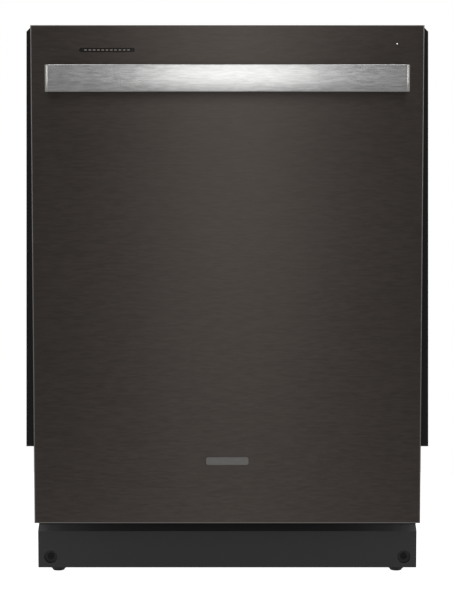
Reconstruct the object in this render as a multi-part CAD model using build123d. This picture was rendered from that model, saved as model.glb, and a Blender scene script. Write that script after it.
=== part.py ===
from build123d import *
import os

# Built-in dishwasher, 24 inch size, top controls and a bar handle.
# Frame: X to the right, front towards -Y, +Z up, origin on the floor under the middle.

# Overall sizes
DOOR_WIDTH = 606.0
DOOR_BOTTOM = 94.0
DOOR_TOP = 870.0
BODY_DEPTH = 622.0
HANDLE_PROUD = 48.0

# Sheet and moulding walls
SKIN = 1.5
TUB_WALL = 2.0
LINER_WALL = 2.0
BASE_WALL = 4.0

# Door build-up, from the front skin back
PAN_DEPTH = 24.0
LINER_DEPTH = 41.0
CONSOLE_HEIGHT = 27.0
LINER_BOTTOM = 150.0
LINER_TOP_DROP = 28.0

# Tub
LINER_GAP = 3.0
TUB_STEP = 14.0
SEAL_ROOM = 12.0
FLANGE_GAP = 5.0
TUB_ROOF_GAP = 8.0
REAR_SPACE = 45.0
FLOOR_Z = 158.0
FLANGE_BOTTOM = 165.0
FLANGE_WIDTH = 12.0

# Hinge
PIN_BACK = 42.0
PIN_Z = 139.0
PIN_RADIUS = 4.0
PIN_CLEARANCE = 0.05
ARM_THICK = 4.0
ARM_HORN = 45.0
ARM_HORN_DROP = 10.0
SPRING_RADIUS = 4.0
SPRING_GAP = 0.5
SPRING_ANCHOR_Y = 100.0
SPRING_ANCHOR_Z = 34.0

# Handle and front fittings
HANDLE_INSET = 26.5
HANDLE_HEIGHT = 41.0
HANDLE_TOP_DROP = 61.6
HANDLE_BAR = 11.0
HANDLE_POST = 5.3
SLOT_LENGTH = 86.0
SLOT_HEIGHT = 6.6
SLOT_INSET = 118.0
SLOT_DROP = 38.0
LED_INSET = 42.0
LED_DROP = 28.4
LED_RADIUS = 1.6
BADGE_LENGTH = 66.0
BADGE_HEIGHT = 12.0
BADGE_Z = 193.0

# Side strips and toe panel
STRIP_TOP_PROUD = 8.3
STRIP_FOOT_PROUD = 14.2
STRIP_THICK = 2.0
STRIP_BOTTOM = 212.0
STRIP_TOP_DROP = 2.6
STRIP_CHAMFER = 6.0
TOE_BACK = 58.0
TOE_BOTTOM = 10.5
TOE_TOP = 69.3
TOE_SLANT_RISE = 8.7
TOE_SLANT_DEPTH = 16.0
TOE_SCREW_INSET = 20.0
TOE_SCREW_Z = 27.8
TOE_RING_RADIUS = 10.5
TOE_HEAD_RADIUS = 5.2

# Feet and base
FOOT_INSET = 30.0
FOOT_BACK = 90.0
REAR_FOOT_INSET = 40.0
FOOT_TOP_RADIUS = 14.0
FOOT_PAD_RADIUS = 9.5
FOOT_PAD_HEIGHT = 1.5
FOOT_CONE_TOP = 5.5
FOOT_HEIGHT = 12.0
STEM_RADIUS = 4.0
STEM_HEIGHT = 40.0
STEM_CLEARANCE = 0.08
BASE_INSET = 22.0
BASE_BOTTOM = 14.0
BASE_SIDE_TOP = 75.0
BASE_FRONT_SETBACK = 84.0

# Racks
WIRE = 4.0
RACK_FRONT_GAP = 30.0
RACK_REAR_GAP = 25.0
LOWER_HALF = 236.0
LOWER_Z = 205.0
LOWER_WALL = 140.0
UPPER_HALF = 242.0
UPPER_Z = 480.0
UPPER_WALL = 140.0
THIRD_HALF = 242.0
THIRD_Z = 700.0
THIRD_WALL = 42.0
WHEEL_RADIUS = 20.0
WHEEL_WIDTH = 12.0
WHEEL_Z = 185.0
WHEEL_X = 255.0
WHEEL_SETBACK = 105.0
AXLE_RADIUS = 4.0
AXLE_CLEARANCE = 0.08
RAIL_HEIGHT = 16.0
RAIL_GAP = 1.5

# Water parts
SUMP_Y = 20.0
SUMP_RADIUS = 118.0
SUMP_DEPTH = 62.0
FILTER_X = 70.0
FILTER_RADIUS = 38.0
FILTER_TOP = 170.0
ARM_RADIUS = 232.0
UPPER_ARM_RADIUS = 222.0
TOP_ARM_RADIUS = 110.0
ARM_WIDTH = 38.0
ARM_HEIGHT = 12.0
LOWER_ARM_Z = 178.0
UPPER_ARM_DROP = 26.0
HUB_RADIUS = 16.0
SPIGOT_RADIUS = 9.0
SPIGOT_CLEARANCE = 0.1
HEATER_RADIUS = 3.5
HEATER_Z = 166.0
HEATER_HALF = 200.0
HEATER_FRONT = -112.0
HEATER_REAR = 160.0
HEATER_LEG_X = 60.0
FLOAT_X = -190.0
FLOAT_SETBACK = 45.0
FLOAT_RADIUS = 22.0
FLOAT_TOP = 186.0

# Buttons
BUTTON_COUNT = 5
BUTTON_LENGTH = 16.0
BUTTON_DEPTH = 9.0
BUTTON_PITCH = 34.0
BUTTON_X = 60.0
BUTTON_CLEARANCE = 0.4
BUTTON_PROUD = 0.8
BUTTON_HEIGHT = 7.0

# Fixings and service ports
FIXING_X = 230.0
FIXING_HOLE = 2.4
INLET_RADIUS = 13.2
DRAIN_RADIUS = 9.5
CABLE_HOLE = 11.0
INLET_X = -185.0
CABLE_X = 155.0
SERVICE_SETBACK = 78.0

# Dispenser and latch
DISPENSER_WIDTH = 190.0
DISPENSER_HEIGHT = 110.0
DISPENSER_DEPTH = 30.0
DISPENSER_Z = 560.0
CUP_SIZE = 62.0
CUP_DEPTH = 20.0
LID_THICK = 4.0
CAP_RADIUS = 19.0
LATCH_HALF = 22.0
LATCH_HEIGHT = 40.0
LATCH_SLOT_HALF = 6.0
STRIKE_HALF = 3.0

# Places worked out from the sizes above
TOTAL_DEPTH = BODY_DEPTH + HANDLE_PROUD
HANDLE_FRONT = -TOTAL_DEPTH / 2
DOOR_FRONT = HANDLE_FRONT + HANDLE_PROUD
REAR = TOTAL_DEPTH / 2
DOOR_HALF = DOOR_WIDTH / 2
HANDLE_WIDTH = DOOR_WIDTH - 2 * HANDLE_INSET
SLOT_X = SLOT_INSET - DOOR_HALF
LED_X = DOOR_HALF - LED_INSET
PAN_BACK = DOOR_FRONT + PAN_DEPTH
LINER_BACK = PAN_BACK + LINER_DEPTH
LINER_TOP = DOOR_TOP - LINER_TOP_DROP
LINER_HALF = DOOR_HALF - 17.0
COLLAR_HALF = LINER_HALF + LINER_GAP
COLLAR_OUT = COLLAR_HALF + TUB_WALL
TUB_HALF = COLLAR_HALF - TUB_STEP
COLLAR_ROOF = LINER_TOP + TUB_ROOF_GAP
TUB_ROOF = COLLAR_ROOF - TUB_STEP
FLANGE_FRONT = PAN_BACK + FLANGE_GAP
STEP_Y = FLANGE_FRONT + LINER_DEPTH + SEAL_ROOM
FLOAT_Y = STEP_Y + FLOAT_SETBACK
TUB_BACK = REAR - REAR_SPACE
PIN_Y = DOOR_FRONT + PIN_BACK
ARM_IN = COLLAR_OUT + 1.5
ARM_OUT = ARM_IN + ARM_THICK
BRACKET_IN = ARM_OUT + 0.5
SPRING_X = BRACKET_IN - SPRING_GAP - SPRING_RADIUS
BRACKET_OUT = BRACKET_IN + 3.0
RACK_FRONT = LINER_BACK + RACK_FRONT_GAP
RACK_BACK = TUB_BACK - TUB_WALL - RACK_REAR_GAP
RACK_MID = (RACK_FRONT + RACK_BACK) / 2
BASE_FRONT = DOOR_FRONT + BASE_FRONT_SETBACK
BASE_REAR = REAR
BASE_HALF = DOOR_HALF - BASE_INSET
SERVICE_Y = BASE_FRONT + SERVICE_SETBACK
TOE_SCREW_X = DOOR_HALF - TOE_SCREW_INSET
FOOT_X = DOOR_HALF - FOOT_INSET
FOOT_Y = DOOR_FRONT + FOOT_BACK
REAR_FOOT_Y = REAR - REAR_FOOT_INSET
HANDLE_TOP = DOOR_TOP - HANDLE_TOP_DROP
HANDLE_BOTTOM = HANDLE_TOP - HANDLE_HEIGHT
TRACK_TOP = WHEEL_Z - WHEEL_RADIUS - 0.3


def block(x0, x1, y0, y1, z0, z1):
    """Box between two corners."""
    middle = Pos((x0 + x1) / 2, (y0 + y1) / 2, (z0 + z1) / 2)
    return middle * Box(abs(x1 - x0), abs(y1 - y0), abs(z1 - z0))


def rod_x(x0, x1, y, z, radius):
    return Pos((x0 + x1) / 2, y, z) * Rot(0, 90, 0) * Cylinder(radius, abs(x1 - x0))


def rod_y(x, y0, y1, z, radius):
    return Pos(x, (y0 + y1) / 2, z) * Rot(90, 0, 0) * Cylinder(radius, abs(y1 - y0))


def rod_z(x, y, z0, z1, radius):
    return Pos(x, y, (z0 + z1) / 2) * Cylinder(radius, z1 - z0)


def profile_x(points, x0, x1):
    """Straight-sided outline of (y, z) points drawn out along X."""
    outline = make_face(Polyline(*[(0, y, z) for y, z in points], close=True))
    return Pos(x0, 0, 0) * extrude(outline, amount=x1 - x0, dir=(1, 0, 0))


def both_sides(shape):
    """A right-hand piece and its mirror image."""
    return [shape, mirror(shape, about=Plane.YZ)]


def window_sheet(width, height, columns, rows, thickness):
    """Flat grid of bars around evenly spaced windows, lying on XY."""
    cell_w = (width - WIRE) / columns
    cell_h = (height - WIRE) / rows
    holes = GridLocations(cell_w, cell_h, columns, rows) * Rectangle(cell_w - WIRE, cell_h - WIRE)
    return extrude(Rectangle(width, height) - holes, amount=thickness)


def save(name, *shapes):
    solids = []
    for shape in shapes:
        solids.extend(shape.solids())
    piece = Compound(children=solids)
    piece.label = name
    export_step(piece, f"parts/{name}.step")


os.makedirs("parts", exist_ok=True)


def tub():
    """Wrapper sheet with its step, collar and front flange, and the back and floor sheets."""
    def arch(half, roof, wall, y0, y1, foot):
        outer = block(-half, half, y0, y1, foot, roof)
        return outer - block(wall - half, half - wall, y0 - 1, y1 + 1, foot - 1, roof - wall)

    body_out = TUB_HALF + TUB_WALL
    wrapper = arch(body_out, TUB_ROOF + TUB_WALL, TUB_WALL, STEP_Y, TUB_BACK, FLOOR_Z)
    collar = arch(COLLAR_OUT, COLLAR_ROOF + TUB_WALL, TUB_WALL, FLANGE_FRONT, STEP_Y, FLANGE_BOTTOM)
    step = arch(COLLAR_OUT, COLLAR_ROOF + TUB_WALL, TUB_STEP + TUB_WALL, STEP_Y, STEP_Y + TUB_WALL,
                FLANGE_BOTTOM)
    flange_half = COLLAR_OUT + FLANGE_WIDTH - TUB_WALL
    flange = arch(flange_half, COLLAR_ROOF + FLANGE_WIDTH, FLANGE_WIDTH, FLANGE_FRONT,
                  FLANGE_FRONT + TUB_WALL, FLANGE_BOTTOM)
    save("tub_wrapper", wrapper + collar + step + flange)
    save("tub_back", block(-body_out, body_out, TUB_BACK, TUB_BACK + TUB_WALL, FLOOR_Z - TUB_WALL,
                           TUB_ROOF + TUB_WALL))
    floor = block(-body_out, body_out, STEP_Y, TUB_BACK, FLOOR_Z - TUB_WALL, FLOOR_Z)
    floor -= rod_z(0, SUMP_Y, FLOOR_Z - 5, FLOOR_Z + 5, SUMP_RADIUS)
    floor -= rod_z(FLOAT_X, FLOAT_Y, FLOOR_Z - 5, FLOOR_Z + 5, 6)
    for x in (-HEATER_LEG_X, HEATER_LEG_X):
        floor -= rod_z(x, HEATER_REAR, FLOOR_Z - 5, FLOOR_Z + 5, HEATER_RADIUS + 2)
    for side in (-1, 1):
        x = side * WHEEL_X
        floor += block(x - 9, x + 9, STEP_Y, TUB_BACK, FLOOR_Z, TRACK_TOP)
    save("tub_floor", floor)
    seal_in = COLLAR_HALF - TUB_STEP + 3
    seal_out = COLLAR_HALF - 1
    seal = block(-seal_out, seal_out, STEP_Y - 12, STEP_Y, FLANGE_BOTTOM, COLLAR_ROOF - 1)
    seal -= block(-seal_in, seal_in, STEP_Y - 13, STEP_Y + 1, FLANGE_BOTTOM - 1, TUB_ROOF + 3)
    save("tub_gasket", seal)
    blanket_out = body_out + 8
    blanket = block(-blanket_out, blanket_out, STEP_Y + 4, TUB_BACK, 190, TUB_ROOF + TUB_WALL + 9)
    blanket -= block(-body_out, body_out, STEP_Y, TUB_BACK + 1, 180, TUB_ROOF + TUB_WALL)
    save("sound_blanket", blanket)


def front_trim():
    """Side strips on the front flange, and the toe panel with its two screws."""
    strip_top = DOOR_TOP - STRIP_TOP_DROP
    edge_in = COLLAR_OUT - 4
    top = DOOR_HALF + STRIP_TOP_PROUD
    foot = DOOR_HALF + STRIP_FOOT_PROUD
    points = [(edge_in, STRIP_BOTTOM), (foot, STRIP_BOTTOM), (top, strip_top - STRIP_CHAMFER),
              (top - STRIP_CHAMFER, strip_top), (edge_in, strip_top)]
    outline = make_face(Polyline(*[(x, 0, z) for x, z in points], close=True))
    strip = Pos(0, FLANGE_FRONT, 0) * extrude(outline, amount=STRIP_THICK, dir=(0, -1, 0))
    save("side_strips", *both_sides(strip))

    face = DOOR_FRONT + TOE_BACK
    skin = 2.0
    slant_top = TOE_TOP + TOE_SLANT_RISE
    slant_back = face + TOE_SLANT_DEPTH
    points = [(face, TOE_BOTTOM), (face, TOE_TOP), (slant_back, slant_top), (slant_back, slant_top - skin),
              (face + skin, TOE_TOP - skin), (face + skin, TOE_BOTTOM + skin),
              (face + 12, TOE_BOTTOM + skin), (face + 12, TOE_BOTTOM)]
    panel = profile_x(points, -DOOR_HALF, DOOR_HALF)
    recess_depth = 5.0
    for side in (-1, 1):
        x = side * TOE_SCREW_X
        panel += rod_y(x, face, face + recess_depth + skin, TOE_SCREW_Z, TOE_RING_RADIUS + skin)
        panel -= rod_y(x, face - 1, face + recess_depth, TOE_SCREW_Z, TOE_RING_RADIUS)
        panel -= rod_y(x, face, face + 20, TOE_SCREW_Z, 2.6)
    for x in (-200, 200):
        panel += block(x - 12, x + 12, face + skin, BASE_FRONT, 40, 44)
    save("toe_panel", panel)
    seat = face + recess_depth
    screws = []
    for side in (-1, 1):
        x = side * TOE_SCREW_X
        head = rod_y(x, seat - 3.2, seat, TOE_SCREW_Z, TOE_HEAD_RADIUS)
        head -= block(x - 3.6, x + 3.6, seat - 4, seat - 1.8, TOE_SCREW_Z - 0.6, TOE_SCREW_Z + 0.6)
        head -= block(x - 0.6, x + 0.6, seat - 4, seat - 1.8, TOE_SCREW_Z - 3.6, TOE_SCREW_Z + 3.6)
        screws.append(head + rod_y(x, seat, seat + 14, TOE_SCREW_Z, 2.2))
    save("toe_panel_screws", *screws)


def base():
    """Moulded base tray, levelling feet, hinge brackets with their pins, and the fixing brackets."""
    tray = block(-BASE_HALF, BASE_HALF, BASE_FRONT, BASE_REAR, BASE_BOTTOM, BASE_SIDE_TOP)
    tray -= block(BASE_WALL - BASE_HALF, BASE_HALF - BASE_WALL, BASE_FRONT + BASE_WALL, BASE_REAR - BASE_WALL,
                  BASE_BOTTOM + BASE_WALL, BASE_SIDE_TOP + 1)
    for side in (-1, 1):
        x0 = side * BASE_HALF
        x1 = side * (BRACKET_OUT - 1)
        tray += block(min(x0, x1), max(x0, x1), BASE_FRONT + 30, BASE_REAR, BASE_BOTTOM,
                      BASE_BOTTOM + BASE_WALL)
        post = side * (TUB_HALF - 10)
        for y in (BASE_REAR - 40, -120):
            tray += block(post - 12, post + 12, y - 12, y + 12, BASE_BOTTOM + BASE_WALL, FLOOR_Z - TUB_WALL)
    boss_radius = 9.0
    boss_top = BASE_BOTTOM + 48
    hole = STEM_RADIUS + STEM_CLEARANCE
    for x in (-FOOT_X, FOOT_X):
        for y in (FOOT_Y, REAR_FOOT_Y):
            boss_back = max(y + boss_radius, BASE_FRONT + 1)
            tray += block(x - 11, x + 11, y - boss_radius, boss_back, BASE_BOTTOM, boss_top)
            tray -= rod_z(x, y, BASE_BOTTOM - 1, boss_top - BASE_WALL, hole)
    tray -= rod_z(INLET_X, SERVICE_Y, BASE_BOTTOM - 1, BASE_BOTTOM + BASE_WALL + 1, 2 * INLET_RADIUS)
    tray -= rod_z(CABLE_X, SERVICE_Y, BASE_BOTTOM - 1, BASE_BOTTOM + BASE_WALL + 1, CABLE_HOLE + 6)
    save("base_tray", tray)
    cone_height = FOOT_CONE_TOP - FOOT_PAD_HEIGHT

    def foot(x, y):
        pad = rod_z(x, y, 0, FOOT_PAD_HEIGHT, FOOT_PAD_RADIUS)
        cone = Cone(FOOT_PAD_RADIUS, FOOT_TOP_RADIUS, cone_height)
        pad += Pos(x, y, FOOT_PAD_HEIGHT + cone_height / 2) * cone
        pad += rod_z(x, y, FOOT_CONE_TOP, FOOT_HEIGHT, FOOT_TOP_RADIUS)
        return pad + rod_z(x, y, FOOT_HEIGHT, FOOT_HEIGHT + STEM_HEIGHT, STEM_RADIUS)

    save("front_left_foot", foot(-FOOT_X, FOOT_Y))
    save("front_right_foot", foot(FOOT_X, FOOT_Y))
    save("rear_feet", foot(-FOOT_X, REAR_FOOT_Y), foot(FOOT_X, REAR_FOOT_Y))

    pin_head = block(BRACKET_IN, BRACKET_OUT, PIN_Y - 14, BASE_FRONT + 60, PIN_Z - 10, PIN_Z + 22)
    leg = block(BRACKET_IN, BRACKET_OUT, BASE_FRONT + 20, BASE_FRONT + 60, BASE_BOTTOM + BASE_WALL, PIN_Z)
    shoe = block(BASE_HALF, BRACKET_OUT, BASE_FRONT + 32, BASE_FRONT + 60, BASE_BOTTOM + BASE_WALL,
                 BASE_BOTTOM + BASE_WALL + 3)
    pin = rod_x(ARM_IN - 0.8, BRACKET_IN, PIN_Y, PIN_Z, PIN_RADIUS)
    hook = rod_x(SPRING_X - 4, BRACKET_OUT, SPRING_ANCHOR_Y, SPRING_ANCHOR_Z, 3)
    strut = block(BRACKET_IN, BRACKET_OUT, BASE_FRONT + 60, SPRING_ANCHOR_Y + 10, BASE_BOTTOM + BASE_WALL,
                  BASE_BOTTOM + BASE_WALL + 24)
    save("hinge_brackets", *both_sides(pin_head + leg + shoe + pin + strut + hook))

    tabs = []
    roof = COLLAR_ROOF + TUB_WALL
    for x in (-FIXING_X, FIXING_X):
        tab = block(x - 15, x + 15, FLANGE_FRONT + TUB_WALL, FLANGE_FRONT + 26, roof, roof + 2)
        tab += block(x - 15, x + 15, FLANGE_FRONT + TUB_WALL, FLANGE_FRONT + 4, roof, DOOR_TOP - 4)
        tab += block(x - 15, x + 15, FLANGE_FRONT + TUB_WALL, FLANGE_FRONT + 24, DOOR_TOP - 4, DOOR_TOP - 2)
        tab -= rod_z(x, FLANGE_FRONT + 14, DOOR_TOP - 6, DOOR_TOP, FIXING_HOLE)
        tabs.append(tab)
    save("counter_brackets", *tabs)


def service_parts():
    """Sump, filters, heater, float, pumps, inlet valve and junction box."""
    wall = 3.0
    sump_bottom = FLOOR_Z - SUMP_DEPTH
    bowl = rod_z(0, SUMP_Y, sump_bottom, FLOOR_Z, SUMP_RADIUS)
    bowl -= rod_z(0, SUMP_Y, sump_bottom + wall, FLOOR_Z + 1, SUMP_RADIUS - wall)
    bowl += rod_z(0, SUMP_Y, sump_bottom, LOWER_ARM_Z, SPIGOT_RADIUS)
    save("sump", bowl)
    plate = rod_z(0, SUMP_Y, FLOOR_Z - 2, FLOOR_Z, SUMP_RADIUS - wall)
    plate -= rod_z(0, SUMP_Y, FLOOR_Z - 3, FLOOR_Z + 1, SPIGOT_RADIUS + 1)
    plate -= rod_z(FILTER_X, SUMP_Y, FLOOR_Z - 3, FLOOR_Z + 1, FILTER_RADIUS + 0.5)
    save("filter_plate", plate)
    mesh_bottom = sump_bottom + wall + 2
    cup = rod_z(FILTER_X, SUMP_Y, mesh_bottom, FLOOR_Z + 4, FILTER_RADIUS)
    cup -= rod_z(FILTER_X, SUMP_Y, mesh_bottom + 2, FLOOR_Z + 5, FILTER_RADIUS - 2)
    grip_half = FILTER_RADIUS - 1
    grip = block(FILTER_X - grip_half, FILTER_X + grip_half, SUMP_Y - 3, SUMP_Y + 3, FLOOR_Z - 2, FILTER_TOP)
    save("filter_cup", cup + grip)

    y0 = HEATER_FRONT
    y1 = HEATER_REAR
    middle = (y0 + y1) / 2
    wide = 2 * (HEATER_HALF + HEATER_RADIUS)
    deep = y1 - y0 + 2 * HEATER_RADIUS
    thick = 2 * HEATER_RADIUS
    ring = RectangleRounded(wide, deep, 44) - RectangleRounded(wide - 2 * thick, deep - 2 * thick, 37)
    ring = Pos(0, middle, HEATER_Z - HEATER_RADIUS) * extrude(ring, amount=thick)
    ring -= block(-HEATER_LEG_X, HEATER_LEG_X, y1 - 10, y1 + 10, HEATER_Z - 10, HEATER_Z + 10)
    legs = [rod_z(x, y1, FLOOR_Z - 20, HEATER_Z + HEATER_RADIUS, HEATER_RADIUS + 1)
            for x in (-HEATER_LEG_X, HEATER_LEG_X)]
    save("heating_element", ring + legs[0] + legs[1])

    dome = rod_z(FLOAT_X, FLOAT_Y, FLOOR_Z + 1, FLOAT_TOP, FLOAT_RADIUS)
    dome = fillet(dome.edges().group_by(Axis.Z)[-1], 6)
    dome -= rod_z(FLOAT_X, FLOAT_Y, FLOOR_Z, FLOAT_TOP - 4, FLOAT_RADIUS - 3)
    save("float_cap", dome + rod_z(FLOAT_X, FLOAT_Y, FLOOR_Z - 22, FLOAT_TOP - 3, 4.5))

    motor_z = 62.0
    pump = rod_x(-230, -120, 150, motor_z, 36) + rod_x(-120, -96, 150, motor_z, 40)
    save("wash_pump", pump + rod_z(-108, 150, motor_z, sump_bottom + 18, 12))
    drain = rod_y(150, 60, 130, 50, 24) + rod_y(150, 40, 60, 50, 30)
    save("drain_pump", drain + rod_y(150, 130, BASE_REAR - BASE_WALL, 50, DRAIN_RADIUS))
    valve = block(INLET_X - 20, INLET_X + 20, SERVICE_Y - 25, SERVICE_Y + 25, BASE_BOTTOM + 22, 72)
    save("inlet_valve", valve + rod_z(INLET_X, SERVICE_Y, BASE_BOTTOM + 2, BASE_BOTTOM + 22, INLET_RADIUS))
    floor_z = BASE_BOTTOM + BASE_WALL
    box = block(CABLE_X - 60, CABLE_X + 60, SERVICE_Y - 40, SERVICE_Y + 40, floor_z, 66)
    box -= block(CABLE_X - 58, CABLE_X + 58, SERVICE_Y - 38, SERVICE_Y + 38, floor_z + 2, 64)
    save("junction_box", box - rod_z(CABLE_X, SERVICE_Y, floor_z - 1, floor_z + 3, CABLE_HOLE))
    standpipe = block(-14, 14, TUB_BACK - 14, TUB_BACK, FLOOR_Z, TUB_ROOF - 14)
    roof_pipe = block(-14, 14, RACK_MID, TUB_BACK, TUB_ROOF - 14, TUB_ROOF)
    drop = rod_z(0, RACK_MID, TUB_ROOF - 30, TUB_ROOF - 14, SPIGOT_RADIUS)
    save("feed_tube", standpipe + roof_pipe + drop)
    strike = block(-STRIKE_HALF, STRIKE_HALF, LINER_BACK - 16, LINER_BACK + 3, LINER_TOP - 8, COLLAR_ROOF)
    save("latch_strike", strike + block(-16, 16, LINER_BACK - 8, LINER_BACK + 3, COLLAR_ROOF - 3, COLLAR_ROOF))


def door():
    """Outer pan, inner liner, console strip and what they carry."""
    pan = block(-DOOR_HALF, DOOR_HALF, DOOR_FRONT, PAN_BACK, DOOR_BOTTOM, DOOR_TOP)
    level_rims = pan.edges().filter_by(Axis.X).group_by(Axis.Y)[0]
    side_rims = pan.edges().filter_by(Axis.Z).group_by(Axis.Y)[0]
    pan = fillet(level_rims + side_rims, 2)
    pan -= block(SKIN - DOOR_HALF, DOOR_HALF - SKIN, DOOR_FRONT + SKIN, PAN_BACK + 1, DOOR_BOTTOM + SKIN,
                 DOOR_TOP + 1)
    slot_z = DOOR_TOP - SLOT_DROP
    slot = Rot(90, 0, 0) * extrude(SlotOverall(SLOT_LENGTH, SLOT_HEIGHT), amount=4, both=True)
    slot = Pos(SLOT_X, DOOR_FRONT, slot_z) * slot
    led_z = DOOR_TOP - LED_DROP
    pan -= slot
    pan -= rod_y(LED_X, DOOR_FRONT - 1, DOOR_FRONT + 4, led_z, LED_RADIUS + 0.1)
    post_x = HANDLE_WIDTH / 2 - HANDLE_POST / 2
    screw_z = (HANDLE_TOP + HANDLE_BOTTOM) / 2
    for x in (-post_x, post_x):
        pan -= rod_y(x, DOOR_FRONT - 1, DOOR_FRONT + 4, screw_z, 2.2)
    save("door_outer_panel", pan)
    window = block(-SLOT_LENGTH / 2 - 4, SLOT_LENGTH / 2 + 4, DOOR_FRONT + SKIN, DOOR_FRONT + SKIN + 2,
                   slot_z - 8, slot_z + 8)
    lens = Rot(90, 0, 0) * extrude(SlotOverall(SLOT_LENGTH - 0.4, SLOT_HEIGHT - 0.4), amount=SKIN - 0.3)
    save("indicator_window", Pos(SLOT_X, 0, 0) * window + Pos(SLOT_X, DOOR_FRONT + SKIN, slot_z) * lens)
    save("status_led", rod_y(LED_X, DOOR_FRONT + 0.2, DOOR_FRONT + SKIN + 4, led_z, LED_RADIUS))
    badge = Pos(0, DOOR_FRONT - 0.4, BADGE_Z) * Box(BADGE_LENGTH, 0.8, BADGE_HEIGHT)
    save("blank_badge", fillet(badge.edges().filter_by(Axis.Y), 3))

    front = DOOR_FRONT - HANDLE_PROUD
    half = HANDLE_WIDTH / 2
    bar = block(-half, half, front, front + HANDLE_BAR, HANDLE_BOTTOM, HANDLE_TOP)
    bar = fillet(bar.edges().filter_by(Axis.X), 3)
    bar = fillet(bar.edges().filter_by(Axis.Z).group_by(Axis.Y)[0], 4)
    for x in (-post_x, post_x):
        post_half = HANDLE_POST / 2
        bar += block(x - post_half, x + post_half, front + HANDLE_BAR - 4, DOOR_FRONT, HANDLE_BOTTOM + 2,
                     HANDLE_TOP - 2)
        bar -= rod_y(x, DOOR_FRONT - 14, DOOR_FRONT + 1, screw_z, 1.8)
    save("bar_handle", bar)
    screws = []
    for x in (-post_x, post_x):
        head = rod_y(x, DOOR_FRONT + SKIN, DOOR_FRONT + SKIN + 3, screw_z, 4.5)
        screws.append(head + rod_y(x, DOOR_FRONT - 12, DOOR_FRONT + SKIN, screw_z, 1.8))
    save("handle_screws", *screws)

    liner = block(-LINER_HALF, LINER_HALF, PAN_BACK, LINER_BACK, LINER_BOTTOM, LINER_TOP)
    corners = liner.edges().filter_by(Axis.Y)
    liner = fillet(corners, 8)
    liner = fillet(liner.edges().group_by(Axis.Y)[-1], 4)
    liner -= block(LINER_WALL - LINER_HALF, LINER_HALF - LINER_WALL, PAN_BACK - 1, LINER_BACK - LINER_WALL,
                   LINER_BOTTOM + LINER_WALL, LINER_TOP - LINER_WALL)
    recess_z0 = DISPENSER_Z
    recess_z1 = DISPENSER_Z + DISPENSER_HEIGHT
    half_w = DISPENSER_WIDTH / 2
    liner -= block(-half_w, half_w, LINER_BACK - 5, LINER_BACK + 1, recess_z0, recess_z1)
    latch_z = LINER_TOP - LATCH_HEIGHT
    liner -= block(-LATCH_HALF, LATCH_HALF, LINER_BACK - 36, LINER_BACK + 1, latch_z, LINER_TOP + 1)
    save("door_liner", liner)
    felt = block(-LINER_HALF + 8, LINER_HALF - 8, PAN_BACK + 1, PAN_BACK + 9, LINER_BOTTOM + 6, LINER_TOP - 10)
    felt -= block(-LATCH_HALF - 2, LATCH_HALF + 2, PAN_BACK, PAN_BACK + 10, latch_z - 4, LINER_TOP)
    save("door_felt", felt)
    seal = block(-LINER_HALF + 6, LINER_HALF - 6, LINER_BACK - 6, LINER_BACK, LINER_BOTTOM - 5, LINER_BOTTOM)
    save("door_bottom_seal", seal)

    console_z = DOOR_TOP - CONSOLE_HEIGHT
    console = block(SKIN + 0.2 - DOOR_HALF, DOOR_HALF - SKIN - 0.2, DOOR_FRONT + SKIN, PAN_BACK, console_z,
                    DOOR_TOP - 0.5)
    console -= block(-DOOR_HALF + 6, DOOR_HALF - 6, DOOR_FRONT + 4, PAN_BACK - 3, console_z - 1, DOOR_TOP - 4)
    slot_room = slot_z + 9
    console -= block(SLOT_X - 50, SLOT_X + 50, DOOR_FRONT, DOOR_FRONT + 6, console_z - 1, slot_room)
    console -= rod_y(LED_X, DOOR_FRONT, DOOR_FRONT + 6, led_z, LED_RADIUS + 0.2)
    button_y = (DOOR_FRONT + PAN_BACK) / 2
    gap = BUTTON_CLEARANCE
    for number in range(BUTTON_COUNT):
        x = BUTTON_X + number * BUTTON_PITCH
        half_l = BUTTON_LENGTH / 2
        half_d = BUTTON_DEPTH / 2
        console -= block(x - half_l - gap, x + half_l + gap, button_y - half_d - gap, button_y + half_d + gap,
                         DOOR_TOP - 6, DOOR_TOP + 1)
        cap = block(x - half_l, x + half_l, button_y - half_d, button_y + half_d, DOOR_TOP - BUTTON_HEIGHT,
                    DOOR_TOP - 0.5 + BUTTON_PROUD - 0.3)
        save(f"button_{number + 1}", cap)
    save("console_strip", console)
    board = block(BUTTON_X - 20, BUTTON_X + BUTTON_COUNT * BUTTON_PITCH, button_y - 6, button_y + 6,
                  console_z + 6, console_z + 8)
    rib = block(BUTTON_X - 16, BUTTON_X - 12, button_y - 5, button_y + 5, console_z + 8, DOOR_TOP - 4)
    save("control_board", board, rib)

    slot_half = LATCH_SLOT_HALF
    latch = block(-LATCH_HALF, LATCH_HALF, LINER_BACK - 36, LINER_BACK - 2, latch_z, LINER_TOP - 1)
    latch -= block(-slot_half, slot_half, LINER_BACK - 22, LINER_BACK, latch_z + 8, LINER_TOP)
    save("door_latch", latch)
    hook_y = LINER_BACK - 9
    hook_z = latch_z + 14
    hook = rod_x(-slot_half + 0.5, slot_half - 0.5, hook_y, hook_z, 4)
    hook += block(-slot_half + 1, slot_half - 1, hook_y - 9, hook_y - 5, hook_z, hook_z + 8)
    hook += block(-slot_half + 1, slot_half - 1, hook_y - 9, hook_y, hook_z - 2, hook_z + 2)
    save("latch_hook", hook)

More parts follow.
